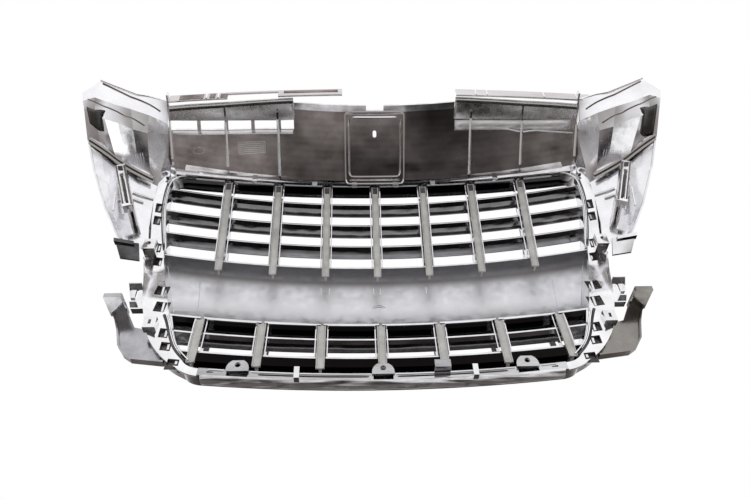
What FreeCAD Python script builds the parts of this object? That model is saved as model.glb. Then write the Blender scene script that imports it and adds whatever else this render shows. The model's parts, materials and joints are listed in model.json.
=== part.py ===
import FreeCAD, Part
import math
import os

# Front grille of a compact car, millimetres, Z up, the face the road sees looks along -Y.
# Shapes are laid out around a working origin on the nose of the grille and moved to the
# row origin (bottom centre of the bounding box) when they are written.

# ---- driving dimensions -------------------------------------------------------------
PLAN_RADIUS = 1290.0        # radius of the plan curve, measured from the working origin
LIP_Y = 174.0               # rear lip, straight in plan
LIP_TOP_Z = 365.0
LIP_HEIGHT = 15.0
LIP_ARCH = 0.000205         # drop of the lip per x squared
WALL = 2.5                  # general moulded wall
BAR_PITCH = 70.0            # spacing of the vertical bars
BAR_COUNT = 7
BAR_WIDTH = 10.0            # rear flange of a vertical bar
SLAT_DEPTH = 22.0           # front to back size of a slat
SLAT_THICK = 2.4
TOP_WALL_Z = 295.0          # top of the cell frame at the centre line
TOP_ARCH = 0.00016          # drop of the frame's top edge per x squared
UPPER_SLATS_Z = (257.0, 221.0, 186.0)
PLATE_TOP_Z = 152.0
PLATE_BOTTOM_Z = 34.0
LOWER_SLAT_Z = 9.0
LOWER_FLOOR_Z = -19.0
RAIL_TOP_Z = -43.0
RAIL_BOTTOM_Z = -53.5
SHELF_SLOPE = 33.0          # closing panel rises towards the rear, degrees
SHELF_Y0 = 59.0             # front end of the closing panel
SHELF_Z0 = 290.0
RIB_X = (138.0, 211.0, 287.0)
TAB_X = 158.5               # bottom screw tabs, left and right of the middle one
TAB_HOLE_R = 3.0
TAB_HOLE_Z = -38.0
CATCH_HOLE_R = 2.6          # oval hole for the bonnet catch
CATCH_HOLE_SPREAD = 4.8     # between the centres of its two ends
CATCH_HOLE_Y = 120.0
POST_HOLE = 5.0             # square socket in the wing posts
ARM_Y = 74.0                # plane of the side brackets' webs
CATCH_X = (174, 88, 30, -31, -85, -176)     # catches along the panel's front edge
PANEL_FRONT_ARCH = 5.0 / 218 ** 2           # set-back of that edge per x squared
PANEL_EDGE = ((286, 139), (248, 136), (212, 134), (174, 132.5), (138, 131), (115, 130))
APRON_FRONT = ((286, 149.5, 327), (248, 147, 330), (211, 145, 333), (174, 143, 336), (137, 141.5, 338),
               (115, 141, 340))
APRON_REAR = ((286, 170, 330), (258, 171, 333), (211, 171.4, 337), (174, 172, 341), (137, 172.6, 344),
              (115, 173, 345))
WINDOW_POSTS_X = (249, 211, 174, 137)
MOVE = (0.0, -98.66, 59.8)  # working origin to row origin

# rear and front faces of the grille in side view, as (z, y)
REAR = ((-80, 69), (-34, 63.5), (29, 57), (80, 42), (137, 27.5), (200, 40), (275, 56), (320, 62))
FRONT = ((-80, 44), (-40, 33), (-16, 25), (13, 15), (60, 2), (100, -5), (150, -3),
         (186, 7), (221, 17), (257, 27), (292, 36), (320, 45))

# front-view edges, one half each, as (x, z): the opening, the bezel, the rear rail beside the
# number plate and the narrower rear rail beside the upper cells
INNER_SIDE = ((291, 258), (291, 222), (285, 182), (277, 137), (259, 75), (244, 27), (233, -7), (221, -26))
BEZEL_SIDE = ((321, 296), (318, 250), (313, 200), (305, 150), (289, 85), (280, 50), (271, 25),
              (260, 0), (243, -22), (224, -35))
RAIL_SIDE = ((321, 296), (318, 250), (313, 200), (305, 150), (289, 85), (280, 50), (272, 25),
             (263, 0), (246, -26), (224, -44))
NARROW_SIDE = ((302, 268), (304.5, 250), (304, 215), (300, 175), (296, 140), (280, 90))
NARROW_TOP_Z = 292.0
NARROW_FROM_Z = 140.0
BEZEL_BOTTOM_Z = -42.0


def vec(x, y, z):
    return FreeCAD.Vector(x, y, z)


def level(table, z):
    """Read y from a (z, y) table by straight interpolation."""
    for (za, ya), (zb, yb) in zip(table, table[1:]):
        if za <= z <= zb:
            return ya + (yb - ya) * (z - za) / (zb - za)
    return table[-1][1] if z > table[-1][0] else table[0][1]


def swept(x, y):
    """Y of a point that lies at y on the centre plane, carried out to x on the plan curve."""
    radius = PLAN_RADIUS - y
    return PLAN_RADIUS - math.sqrt(radius * radius - x * x)


def shelf_z(y):
    """Height of the closing panel's underside at y on the centre plane."""
    return SHELF_Z0 + (y - SHELF_Y0) * math.tan(math.radians(SHELF_SLOPE))


def polygon(points, close=True):
    pts = [vec(*p) for p in points]
    if close:
        pts.append(pts[0])
    return Part.makePolygon(pts)


def curve(points):
    spline = Part.BSplineCurve()
    spline.interpolate([vec(*p) for p in points])
    return spline.toShape()


def box(x0, x1, y0, y1, z0, z1):
    return Part.makeBox(x1 - x0, y1 - y0, z1 - z0, vec(x0, y0, z0))


def turn(face, x0, x1):
    """Carry a face of the centre plane round the plan curve from x0 to x1."""
    axis = vec(0, PLAN_RADIUS, 0)
    reach = PLAN_RADIUS - face.BoundBox.YMax
    a0 = math.degrees(math.asin(x0 / reach))
    a1 = math.degrees(math.asin(x1 / reach))
    start = face.copy()
    start.rotate(axis, vec(0, 0, 1), a0)
    solid = start.revolve(axis, vec(0, 0, 1), a1 - a0)
    return solid


def turned(points, x0, x1):
    """Plan-curved solid with a straight-sided section given as (y, z) points."""
    face = Part.Face(polygon([(0, y, z) for y, z in points]))
    return turn(face, x0, x1)


def turned_between(points, x0, x1):
    """The same, trimmed square at x0 and x1."""
    pad = 12.0
    return turned(points, x0 - pad, x1 + pad).common(box(x0, x1, -200, 500, -200, 500))


def band(front, rear, z0, z1, x0, x1):
    """Plan-curved slab between two faces; front and rear are functions of z."""
    steps = 11
    zs = [z0 + (z1 - z0) * i / (steps - 1) for i in range(steps)]
    fore = curve([(0, front(z), z) for z in zs])
    aft = curve([(0, rear(z), z) for z in reversed(zs)])
    top = Part.makeLine(vec(0, front(z1), z1), vec(0, rear(z1), z1))
    bottom = Part.makeLine(vec(0, rear(z0), z0), vec(0, front(z0), z0))
    return turn(Part.Face(Part.Wire([fore, top, aft, bottom])), x0, x1)


def rear(offset=0.0):
    return lambda z: level(REAR, z) + offset


def front(offset=0.0):
    return lambda z: level(FRONT, z) + offset


def outline(side, top_z, bottom_z, top_r, bottom_r, grow=0.0, rise=0.0):
    """Closed front-view wire from its side curve, optionally grown outwards; rise arches the top."""
    right = [(x + grow, z) for x, z in side]
    top_z += grow
    bottom_z -= grow
    tx, tz = right[0]
    bx, bz = right[-1]
    k = 0.30
    top_pts = [(tx, tz), (tx - top_r * k * 0.6, top_z - (top_z - tz) * k), (tx - top_r, top_z)]
    low_pts = [(bx, bz), (bx - bottom_r * k, bottom_z + (bz - bottom_z) * k), (bx - bottom_r, bottom_z)]

    def flat(points, sign):
        return [(sign * x, 0, z) for x, z in points]

    edges = []
    for sign in (1, -1):
        edges.append(curve(flat(right, sign)))
        edges.append(curve(flat(top_pts, sign)))
        edges.append(curve(flat(low_pts, sign)))
    ends = (vec(tx - top_r, 0, top_z), vec(top_r - tx, 0, top_z))
    if rise:
        edges.append(Part.Arc(ends[0], vec(0, 0, top_z + rise), ends[1]).toShape())
    else:
        edges.append(Part.makeLine(*ends))
    edges.append(Part.makeLine(vec(bx - bottom_r, 0, bottom_z), vec(bottom_r - bx, 0, bottom_z)))
    return Part.Wire(Part.__sortEdges__(edges))


def prism(wire):
    """Front-view wire driven straight through the grille from front to rear."""
    face = Part.Face(wire)
    face.translate(vec(0, -150, 0))
    return face.extrude(vec(0, 500, 0))


def inner(grow=0.0):
    reach = INNER_SIDE[0][0] - 20
    rise = TOP_ARCH * reach * reach
    return prism(outline(INNER_SIDE, TOP_WALL_Z - rise, RAIL_TOP_Z, 20, 20, grow, rise))


def outer(grow=0.0):
    return prism(outline(BEZEL_SIDE, 318, BEZEL_BOTTOM_Z, 22, 34, grow))


def rail_outer():
    """Outline of the rear rails: wide below NARROW_FROM_Z, narrow and round-cornered above it."""
    wide = prism(outline(RAIL_SIDE, 318, RAIL_BOTTOM_Z, 22, 34))
    narrow = prism(outline(NARROW_SIDE, NARROW_TOP_Z, 60, 12, 20))
    wide = wide.common(box(-400, 400, -200, 400, -100, NARROW_FROM_Z))
    return wide.fuse(narrow.common(box(-400, 400, -200, 400, NARROW_FROM_Z, 400)))


def sheet(rows, push):
    """Moulded sheet: a grid of points skinned patch by patch and given thickness along push."""
    patches = []
    for row, below in zip(rows, rows[1:]):
        for i in range(len(row) - 1):
            upper = Part.makeLine(vec(*row[i]), vec(*row[i + 1]))
            lower = Part.makeLine(vec(*below[i]), vec(*below[i + 1]))
            patches.append(Part.makeRuledSurface(upper, lower).extrude(vec(*push)))
    if len(patches) == 1:
        return patches[0]
    return patches[0].fuse(patches[1:])


def mirrored(shape):
    return shape.mirror(vec(0, 0, 0), vec(1, 0, 0))


def joined(first, *others):
    """Fuse and drop the seams between faces that continue one another."""
    return first.fuse(list(others)).removeSplitter()


PARTS = {}


def keep(name, shape):
    PARTS[name] = shape


# ---- chrome surround ----------------------------------------------------------------
def surround():
    """Open-backed frame: inner wall, rounded face and outer wall in one moulding."""
    whole = band(front(), rear(-3.2), -64, 319, -330, 330)
    face = band(front(-1.5), front(1.8), -64, 319, -330, 330)
    skirt = band(front(1.0), front(16.0), -64, 319, -330, 330)
    inner_wall = whole.common(inner(WALL + 0.2).cut(inner(0.2)))
    plate = face.common(outer().cut(inner(0.2)))
    outer_wall = skirt.common(outer().cut(outer(-WALL)))
    return joined(inner_wall, plate, outer_wall)


# ---- cell frames and slats ------------------------------------------------------------
def cell_wall(z0, z1):
    """Side walls of a cell frame, lying just inside the surround's inner wall."""
    slab = band(front(4), rear(-3.2), z0, z1, -320, 320)
    return slab.common(inner().cut(inner(-WALL)))


def slat_section(y_rear, z, depth=SLAT_DEPTH, lip=3.0):
    """Blade whose underside hollows down into a lip along its front edge."""
    y_front = y_rear - depth
    t = SLAT_THICK
    hollow = [(y_front + 2.2 + 11.0 * s, z - lip * (1 - s) ** 2) for s in (0.0, 0.15, 0.35, 0.6, 1.0)]
    return [(y_rear, z), (y_rear, z + t), (y_front + 2.0, z + t), (y_front, z + t - 1.2),
            (y_front, z - lip + 0.4), (y_front + 1.0, z - lip - 0.4)] + hollow


def arched_wall(section, x_end, steps=9):
    """Wall that follows the plan curve and the arch of the frame's top edge, mirror symmetric."""
    (y0, z0), (y1, z1), thickness = section
    rows = []
    for y, z in ((y0, z0), (y1, z1)):
        xs = [-x_end + 2 * x_end * i / (steps - 1) for i in range(steps)]
        rows.append([(x, swept(x, y), z - TOP_ARCH * x * x) for x in xs])
    return sheet(rows, thickness)


def bar_slots(z0, z1, clearance=0.0):
    """Space taken by the vertical bars' webs and rear flanges."""
    cutters = []
    for i in range(BAR_COUNT):
        x = (i - (BAR_COUNT - 1) / 2) * BAR_PITCH
        cutters.append(bar_body(x, z0, z1, 1.6 + clearance))
    return cutters


def bar_body(x, z0, z1, half_web, web_depth=9.0):
    """Web of one vertical bar as a leaning plate that follows the rear face."""
    steps = 5
    zs = [z0 + (z1 - z0) * i / (steps - 1) for i in range(steps)]
    aft = [(swept(x, level(REAR, z)) - 1.0, z) for z in zs]
    fore = [(y - web_depth, z) for y, z in aft]
    pts = aft + fore[::-1]
    face = Part.Face(polygon([(x - half_web, y, z) for y, z in pts]))
    return face.extrude(vec(2 * half_web, 0, 0))


def bar(x, z0, z1):
    """Vertical bar: rear flange with rolled edges, and a web slotted over the slats."""
    half = BAR_WIDTH / 2
    steps = 5
    zs = [z0 + (z1 - z0) * i / (steps - 1) for i in range(steps)]
    aft = [(swept(x, level(REAR, z)), z) for z in zs]
    flange_pts = aft + [(y - 2.0, z) for y, z in aft[::-1]]
    flange = Part.Face(polygon([(x - half, y, z) for y, z in flange_pts])).extrude(vec(2 * half, 0, 0))
    edge_pts = [(y + 0.9, z) for y, z in aft] + [(y - 0.2, z) for y, z in aft[::-1]]
    rolled = []
    for x_edge in (x - half, x + half - 1.6):
        rolled.append(Part.Face(polygon([(x_edge, y, z) for y, z in edge_pts])).extrude(vec(1.6, 0, 0)))
    web = bar_body(x, z0, z1, 1.5)
    return joined(flange, web, *rolled)


def bar_trim(x, z0, z1):
    """Bright strip on the road side of a vertical bar."""
    steps = 7
    zs = [z0 + (z1 - z0) * i / (steps - 1) for i in range(steps)]
    fore = [(swept(x, level(FRONT, z)) - 3.0, z) for z in zs]
    pts = fore + [(y + 2.6, z) for y, z in fore[::-1]]
    strip = Part.Face(polygon([(x - 4.0, y, z) for y, z in pts])).extrude(vec(8.0, 0, 0))
    return strip


def cells():
    opening = inner(-0.1)
    upper_slots = bar_slots(TOP_WALL_Z - 160, TOP_WALL_Z + 2, 0.1)
    lower_slots = bar_slots(-40, PLATE_BOTTOM_Z + 4, 0.1)
    inside = inner(-WALL)

    for i, z in enumerate(UPPER_SLATS_Z, 1):
        slat = turned(slat_section(level(REAR, z) - 3.2, z), -300, 300).common(inside)
        keep("upper_slat_%d" % i, slat.cut(upper_slots))

    slat = turned(slat_section(level(REAR, LOWER_SLAT_Z) - 3.2, LOWER_SLAT_Z), -300, 300)
    keep("lower_slat", slat.common(inside).cut(lower_slots))

    y_top = level(REAR, TOP_WALL_Z)
    y_lip = y_top - 24
    underside = TOP_WALL_Z - SLAT_THICK
    top = arched_wall(((y_top, underside), (y_lip, underside), (0, 0, SLAT_THICK)), 286, 17)
    top_lip = arched_wall(((y_lip, TOP_WALL_Z - 1.0), (y_lip, underside - 3.0), (0, 2.0, 0)), 286, 17)
    top = top.fuse(top_lip).common(opening)
    keep("upper_cell_frame", joined(top, cell_wall(PLATE_TOP_Z + 3, TOP_WALL_Z - 9)).cut(upper_slots))

    roof_y = level(REAR, PLATE_BOTTOM_Z) - 3.2
    roof = turned(slat_section(roof_y, PLATE_BOTTOM_Z, 24.0), -300, 300).common(opening)
    floor_y = level(REAR, LOWER_FLOOR_Z) - 3.2
    floor = turned(slat_section(floor_y, LOWER_FLOOR_Z, 30.0), -300, 300).common(opening)
    walls = cell_wall(LOWER_FLOOR_Z, PLATE_BOTTOM_Z + 1)
    keep("lower_cell_frame", joined(roof, floor, walls).cut(lower_slots))

    upper_bars = []
    lower_bars = []
    for i in range(BAR_COUNT):
        x = (i - (BAR_COUNT - 1) / 2) * BAR_PITCH
        upper = bar(x, 136, TOP_WALL_Z - 8 - TOP_ARCH * x * x)
        lower = bar(x, -36, 29)
        keep("upper_bar_%d" % (i + 1), upper.cut(front_halves()))
        keep("lower_bar_%d" % (i + 1), lower.cut(front_halves()))
        upper_bars.append(bar_trim(x, PLATE_TOP_Z + 4, TOP_WALL_Z - 8 - TOP_ARCH * x * x))
        lower_bars.append(bar_trim(x, LOWER_FLOOR_Z + 4, PLATE_BOTTOM_Z - 6))
    keep("upper_bar_trims", Part.makeCompound(upper_bars))
    keep("lower_bar_trims", Part.makeCompound(lower_bars))


def front_halves():
    """Half-lap notches: the part of each slat that stays whole where a bar crosses it."""
    cutters = []
    for z in UPPER_SLATS_Z + (LOWER_SLAT_Z, LOWER_FLOOR_Z, PLATE_BOTTOM_Z):
        y_rear = level(REAR, z) - 3.2
        section = [(y_rear - 30, z - 0.1), (y_rear - 5.0, z - 0.1),
                   (y_rear - 5.0, z + SLAT_THICK + 0.1), (y_rear - 30, z + SLAT_THICK + 0.1)]
        cutters.append(turned(section, -240, 240))
    return cutters


# ---- number plate bar -----------------------------------------------------------------
def plate_bar():
    """Trough-shaped bar that carries the number plate, hollow side to the rear."""
    skin = [(27, 151.5), (19, 151.3), (12, 150), (5, 146.5), (0, 140), (-3, 130), (-3.5, 112), (-1, 90),
            (6, 70), (20, 54), (34, 43), (47, 37)]
    out = [(27, 154), (18, 153.9), (11, 152.5), (3.5, 148.6), (-2.2, 141), (-5.5, 130.5), (-6, 111.5),
           (-3.5, 89), (3.8, 68.5), (18.3, 52.1), (32.8, 40.8), (47, 36.5)]
    aft = curve([(0, y, z) for y, z in skin])
    fore = curve([(0, y, z) for y, z in out[::-1]])
    end_a = Part.makeLine(vec(0, *skin[-1]), vec(0, *out[-1]))
    end_b = Part.makeLine(vec(0, *out[0]), vec(0, *skin[0]))
    return turn(Part.Face(Part.Wire([aft, end_a, fore, end_b])), -290, 290).common(inner(-0.1))


# ---- rear rails -----------------------------------------------------------------------
WINDOWS = ((297, 220, 8, 15), (296, 200, 9, 14), (289, 158, 9, 14), (285, 135, 11, 15),
           (267, 77, 11, 19), (259, 45, 12, 19), (245, 2, 10, 14), (239, -17, 11, 12), (227, -38, 12, 9))


def side_rail():
    """Flat rear flange of the left side with its snap windows."""
    plate = band(rear(-3.0), rear(0.0), -56, 302, 150, 330)
    plate = plate.common(rail_outer().cut(inner(0.3)))
    plate = plate.common(box(200, 340, -100, 300, -58, 302))
    plate = plate.cut(box(150, 284, -100, 300, 280, 320))
    for x, z, w, h in WINDOWS:
        plate = plate.cut(box(x - w / 2, x + w / 2, 0, 200, z - h / 2, z + h / 2))
    return plate


def snap_hooks():
    """Hooks of the surround that stand in the rail windows."""
    hooks = []
    for x, z, w, h in WINDOWS:
        y = swept(x, level(REAR, z)) - 3
        low, high = z - h / 2 + 2.5, z + h / 2 - 2.5
        root = box(x - w / 2 - 5, x - w / 2 + 4.0, y - 14, y - 6, low, high)
        tongue = box(x - w / 2 + 1.5, x - w / 2 + 4.0, y - 7, y + 2, low, high)
        hooks.append(root.fuse(tongue).cut(inner(0.4)))
    return hooks


def screw_tab(x):
    """D-shaped screw tab standing up from the bottom rail."""
    half = 12.5
    y = swept(x, level(REAR, -40)) + 1.0
    base = box(x - half, x + half, y, y + 3.0, RAIL_TOP_Z - 3, TAB_HOLE_Z - 5)
    cap = Part.makeCylinder(half, 3.0, vec(x, y, TAB_HOLE_Z - 5), vec(0, 1, 0))
    cap = cap.common(box(x - half, x + half, y, y + 3.0, TAB_HOLE_Z - 5, TAB_HOLE_Z + 6.0))
    hole = Part.makeCylinder(TAB_HOLE_R, 20, vec(x, y - 8, TAB_HOLE_Z), vec(0, 1, 0))
    return joined(base, cap).cut(hole)


def bottom_rail():
    rail = band(rear(-3.0), rear(1.0), RAIL_BOTTOM_Z, RAIL_TOP_Z, -225, 225)
    rail = rail.common(box(-199.5, 199.5, -100, 300, -100, 0))
    for x in (-TAB_X, 0, TAB_X):
        y = swept(x, level(REAR, -40))
        rail = rail.cut(box(x - 11, x + 11, y - 20, y + 20, RAIL_BOTTOM_Z + 1.0, RAIL_TOP_Z - 2.5))
        rail = rail.fuse(screw_tab(x))
    return rail.removeSplitter()


def lower_lip():
    """Rounded bottom wall of the frame, from the rail forward to the bezel's lower edge."""
    under = [(69.5, -53.7), (68.7, -56.2), (66.0, -58.2), (60, -59.8), (55, -57.5), (46, -51.5),
             (34, -42.6)]
    inside = [(34, -40.4), (46, -49.0), (55, -55.2), (60, -57.6), (65.2, -56.2), (66.9, -55.0),
              (67.3, -53.7)]
    return turned_between(under + inside, -196, 196)


# ---- closing panel --------------------------------------------------------------------
def slope_section(y0, y1, t=3.0):
    rise = t / math.cos(math.radians(SHELF_SLOPE))
    return [(y0, shelf_z(y0)), (y1, shelf_z(y1)), (y1, shelf_z(y1) + rise), (y0, shelf_z(y0) + rise)]


def rib(x):
    """Stiffening rib hanging from the underside of the closing panel."""
    t = 2.4
    y0, y1 = 64, 134
    pts = [(y0, shelf_z(y0) + 1), (y1, shelf_z(y1) + 1), (y1 + 14, shelf_z(y1) + 5),
           (y1 + 14, shelf_z(y1) - 3), (y1, shelf_z(y1) - 8), (y0 + 6, shelf_z(y0 + 6) - 6),
           (y0, shelf_z(y0) - 2)]
    face = Part.Face(polygon([(x - t / 2, swept(x, y), z) for y, z in pts]))
    return face.extrude(vec(t, 0, 0))


def on_shelf(x, y):
    """Height of the closing panel's underside at plan position (x, y)."""
    return shelf_z(PLAN_RADIUS - math.hypot(x, PLAN_RADIUS - y))


def closing_panel():
    """Sloping panel over the top cells, with ribs, latch pocket, centre flange and window posts."""
    middle = turned_between(slope_section(60, 149), -116, 116)
    sides = turned_between(slope_section(60, 130), -286, 286)
    front_trim = plan_prism([(x, swept(x, 65 - PANEL_FRONT_ARCH * x * x)) for x in range(-300, 301, 50)]
                            + [(300, 0), (-300, 0)], 280, 400)
    for sign in (1, -1):
        behind = [(sign * x, y) for x, y in PANEL_EDGE] + [(sign * 112, 260), (sign * 300, 260)]
        sides = sides.cut(plan_prism(behind, 280, 400))
    root = arched_wall(((62.5, 297.5), (66.5, 297.5), (0, 0, 19)), 270, 13)
    parts = [rib(sign * x) for x in RIB_X for sign in (1, -1)]
    rise = (0, 0, 3.0)
    front_edge = [(x, y - 1.0, on_shelf(x, y - 1.0)) for x, y in PANEL_EDGE]
    rear_edge = [(x, y - 0.2, z) for x, y, z in APRON_FRONT]
    parts.append(mirrored(sheet([front_edge, rear_edge], rise)))
    filler = [[(x, y, on_shelf(x, y)) for x in (-116, -110)] for y in (128, 144)]
    parts.append(sheet(filler, rise))
    for x in WINDOW_POSTS_X:
        ends = [[(x - 2.5, y, z), (x + 2.5, y, z)] for y, z in post_ends(x)]
        parts.append(sheet(ends, rise))
    panel = joined(middle, sides, root, centre_flange(), *parts)
    pocket = turned_between([(66, 270), (146, 300), (146, 370), (66, 340)], -39, 39)
    return panel.cut(pocket.fuse(front_trim))


def post_ends(x):
    """Front and rear (y, z) of a window post, on the panel edge and on the apron's front edge."""
    y_panel = level([(px, py) for px, py in reversed(PANEL_EDGE)], x) - 2.0
    y_apron = level([(ax, ay) for ax, ay, az in reversed(APRON_FRONT)], x) - 0.2
    z_apron = level([(ax, az) for ax, ay, az in reversed(APRON_FRONT)], x)
    return ((y_panel, on_shelf(x, y_panel)), (y_apron, z_apron))


def rear_apron(sign):
    """Flat flange behind the panel windows, carrying the bonnet seal."""
    plate = sheet([APRON_FRONT, APRON_REAR], (0, 0, 2.6))
    return plate if sign > 0 else mirrored(plate)


def rear_lip(sign):
    """Upstanding strip behind the apron, arched in front view and straight in plan."""
    ends = (46, 286) if sign > 0 else (116, 306)
    steps = 9
    xs = [ends[0] + (ends[1] - ends[0]) * i / (steps - 1) for i in range(steps)]
    top = curve([(x, 0, LIP_TOP_Z - LIP_ARCH * x * x) for x in xs])
    low = curve([(x, 0, LIP_TOP_Z - LIP_HEIGHT - LIP_ARCH * x * x) for x in reversed(xs)])
    side = Part.makeLine(top.Vertexes[-1].Point, low.Vertexes[0].Point)
    back = Part.makeLine(low.Vertexes[-1].Point, top.Vertexes[0].Point)
    strip = Part.Face(Part.Wire([top, side, low, back]))
    strip.translate(vec(0, LIP_Y, 0))
    wall = strip.extrude(vec(0, WALL, 0))
    if sign > 0:
        opening = [(x, 100, LIP_TOP_Z - 4 - LIP_ARCH * x * x) for x in (136, 170, 206)]
        opening += [(206, 100, 300), (136, 100, 300)]
        return wall.cut(Part.Face(polygon(opening)).extrude(vec(0, 200, 0)))
    return mirrored(wall)


def latch_cover():
    """Tray over the bonnet latch: raised rim, sloping floor and an oval catch hole."""
    rise = 4.0
    outer_rim = turned_between([(63, shelf_z(63) - rise), (147, shelf_z(147) - rise),
                                (147, shelf_z(147) + 4), (66.5, shelf_z(66.5) + 4),
                                (66.5, shelf_z(63) - 1), (63, shelf_z(63) - 1)], -41, 41)
    hollow = turned_between([(67, shelf_z(67) - rise - 2), (143, shelf_z(143) - rise - 2),
                             (143, shelf_z(143) + 1), (67, shelf_z(67) + 1)], -37, 37)
    tray = outer_rim.cut(hollow)
    radius = CATCH_HOLE_R
    reach = 20.0
    oval = Part.makeBox(2 * radius, CATCH_HOLE_SPREAD, 2 * reach, vec(-radius, 0, -reach))
    for y in (0, CATCH_HOLE_SPREAD):
        oval = oval.fuse(Part.makeCylinder(radius, 2 * reach, vec(0, y, -reach), vec(0, 0, 1)))
    oval = oval.removeSplitter()
    oval.Placement = FreeCAD.Placement(vec(0, CATCH_HOLE_Y, shelf_z(CATCH_HOLE_Y)),
                                       FreeCAD.Rotation(vec(1, 0, 0), SHELF_SLOPE))
    return tray.cut(oval)


def centre_flange():
    """Narrow flange behind the latch cover, notched in the middle."""
    z = shelf_z(148)
    strip = turned_between([(148, z), (158, z + 1), (158, z + 3.6), (148, z + 3.6)], -115, 115)
    return strip.cut(box(-13, 12, 150, 200, 300, 400))


# ---- wings ----------------------------------------------------------------------------
def plan_prism(points, z0=100, z1=420):
    face = Part.Face(polygon([(x, y, z0) for x, y in points]))
    return face.extrude(vec(0, 0, z1 - z0))


# Fold lines of the left wing from the panel side out to the tip, each point (x, y, z)
WING_RIM = ((288, 175, 333), (310, 183, 333), (326, 187, 332), (344, 193, 336), (357, 197, 339),
            (374, 202, 344), (397, 193, 329))
WING_FOLD = ((288, 155, 312), (306, 174, 303), (326, 187, 298), (344, 192, 300), (356, 195, 303),
             (373, 199, 308), (393, 190, 314))
WING_CREASE = ((288, 137, 312), (309, 157, 286), (324, 167, 280), (341, 177, 280), (357, 183, 281),
               (375, 180, 298), (391, 184, 306))
WING_SPINE = ((304.5, 88, 257), (313, 93, 259), (327, 100, 263), (341, 110, 264), (354, 120, 267),
              (373, 137, 275), (389, 150, 280))
WING_WAIST = ((305.5, 82, 225), (312, 85, 226), (323, 90, 227), (336, 98, 228), (348, 108, 229),
              (362, 119, 232), (376, 129, 239))
WING_HEEL = ((303.5, 76, 185), (309, 78, 185), (317, 82, 184), (326, 87, 184), (334, 92, 184),
             (344, 99, 185), (354, 109, 188))
WING_FOOT = ((299, 69, 149), (303, 72, 148), (308, 75, 147), (313, 78, 146), (317, 82, 145),
             (323, 86, 145), (329, 92, 144))
WING_PUSH = (0, -1.8, 2.2)      # wall thickness of the wing, forwards and up


def wing():
    """Left wing: folded skin from the bonnet line down to the foot, with a rim round its tip."""
    rows = [WING_RIM, WING_FOLD, WING_CREASE, WING_SPINE, WING_WAIST, WING_HEEL, WING_FOOT]
    skin = sheet(rows, WING_PUSH)
    corner = sheet([[(288, 137, 312), (288, 112, 302)], [(304.5, 88, 257), (291, 94, 288)]], WING_PUSH)
    edge = [row[-1] for row in rows]
    tip = [[(x, y, z), (x - 2.5, y, z)] for x, y, z in edge]
    rim = sheet(tip, (0, -12, 7))
    rim_lip = sheet([[(x, y - 1.2, z + 0.4) for x, y, z in WING_RIM[:-1]],
                     [(x, y + 1.6, z + 0.9) for x, y, z in WING_RIM[:-1]]], (0, 0, 1.8))
    return joined(skin, corner, rim, rim_lip)


def wing_post():
    """U-shaped post with a square socket in its top, standing behind the wing."""
    top = vec(347, 120, 258)
    foot = vec(321, 111, 184)
    direction = (top - foot).normalize()
    length = (top - foot).Length
    body = Part.makeBox(13, 13, length, vec(-6.5, -6.5, 0))
    half = POST_HOLE / 2
    body = body.cut(Part.makeBox(POST_HOLE, POST_HOLE, 40, vec(-half, -half, length - 30)))
    body = body.cut(Part.makeBox(5, 3, length - 22, vec(-2.5, 3.6, 4)))
    body.Placement = FreeCAD.Placement(foot, FreeCAD.Rotation(vec(0, 0, 1), direction))
    return body


def post_stay():
    """Webs that tie the post to the wing skin in front of it."""
    rear_edge = [(349, 119, 257), (321, 110, 184), (316, 96, 168)]
    front_edge = [(349, 108, 257), (321, 83, 184), (316, 80, 168)]
    webs = []
    for shift in (0, -7):
        rows = [[(x + shift, y, z) for x, y, z in edge] for edge in (front_edge, rear_edge)]
        webs.append(sheet(rows, (2.2, 0, 0)))
    return webs


# ---- side brackets --------------------------------------------------------------------
def side_arm():
    """Bracket beside the lower corner: top ledge, upright web and a foot flange."""
    ledge = box(295, 315, ARM_Y, 108, 36, 42)
    outline_xz = ((294, 37), (314, 37), (308, 28), (301.5, 12), (295, -10), (285, -24), (275, -31),
                  (240, -36), (232, -26), (262, 12), (283, 17))
    face = Part.Face(polygon([(x, ARM_Y, z) for x, z in outline_xz]))
    web = face.extrude(vec(0, 2.6, 0)).cut(inner(WALL + 2.0))
    foot = sheet([[(239, ARM_Y + 0.2, -35.8), (275, ARM_Y + 0.2, -31.0)],
                  [(239, ARM_Y + 9, -35.8), (275, ARM_Y + 9, -31.0)]], (0, 0, 2.4))
    edge = [(314, 37), (308, 28), (301.5, 12), (295, -10), (285, -24), (275, -31)]
    flange = sheet([[(x - inset, ARM_Y + 0.1, z) for x, z in edge] for inset in (2.2, 0.05)], (0, 6.0, 0))
    tie = [(269, 20), (266.5, 12), (263.5, 3), (258, -8)]
    stay = sheet([[(x - inset, ARM_Y + 0.1, z) for x, z in tie] for inset in (2.5, 0)], (0, 8.5, 0))
    return joined(ledge, web, foot, flange, stay)


def hook():
    """Locating hook outside the side rail."""
    shape = ((277, 42), (293, 42), (297, 53), (289, 53), (291, 59), (297, 59), (304, 82), (287, 82),
             (284, 66))
    plate = Part.Face(polygon([(x, 73, z) for x, z in shape])).extrude(vec(0, 3, 0))
    edge = shape[:-1]
    walls = sheet([[(x - dx, 73.1, z - dz) for x, z in edge] for dx, dz in ((0, 0), (1.2, 1.8))], (0, 9, 0))
    slot = box(291, 294, 60, 90, 62, 76)
    return plate.fuse(walls).cut(slot).cut(outer(0.1)).cut(rail_outer().fuse(inner(0.3)))


def box_boss(x0, x1, z0, z1, reach, hollow):
    """Box-shaped boss standing rearwards from the side rail."""
    y = swept((x0 + x1) / 2, level(REAR, (z0 + z1) / 2))
    return box(x0, x1, y - 1, y + reach, z0, z1).cut(hollow(y))


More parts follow.
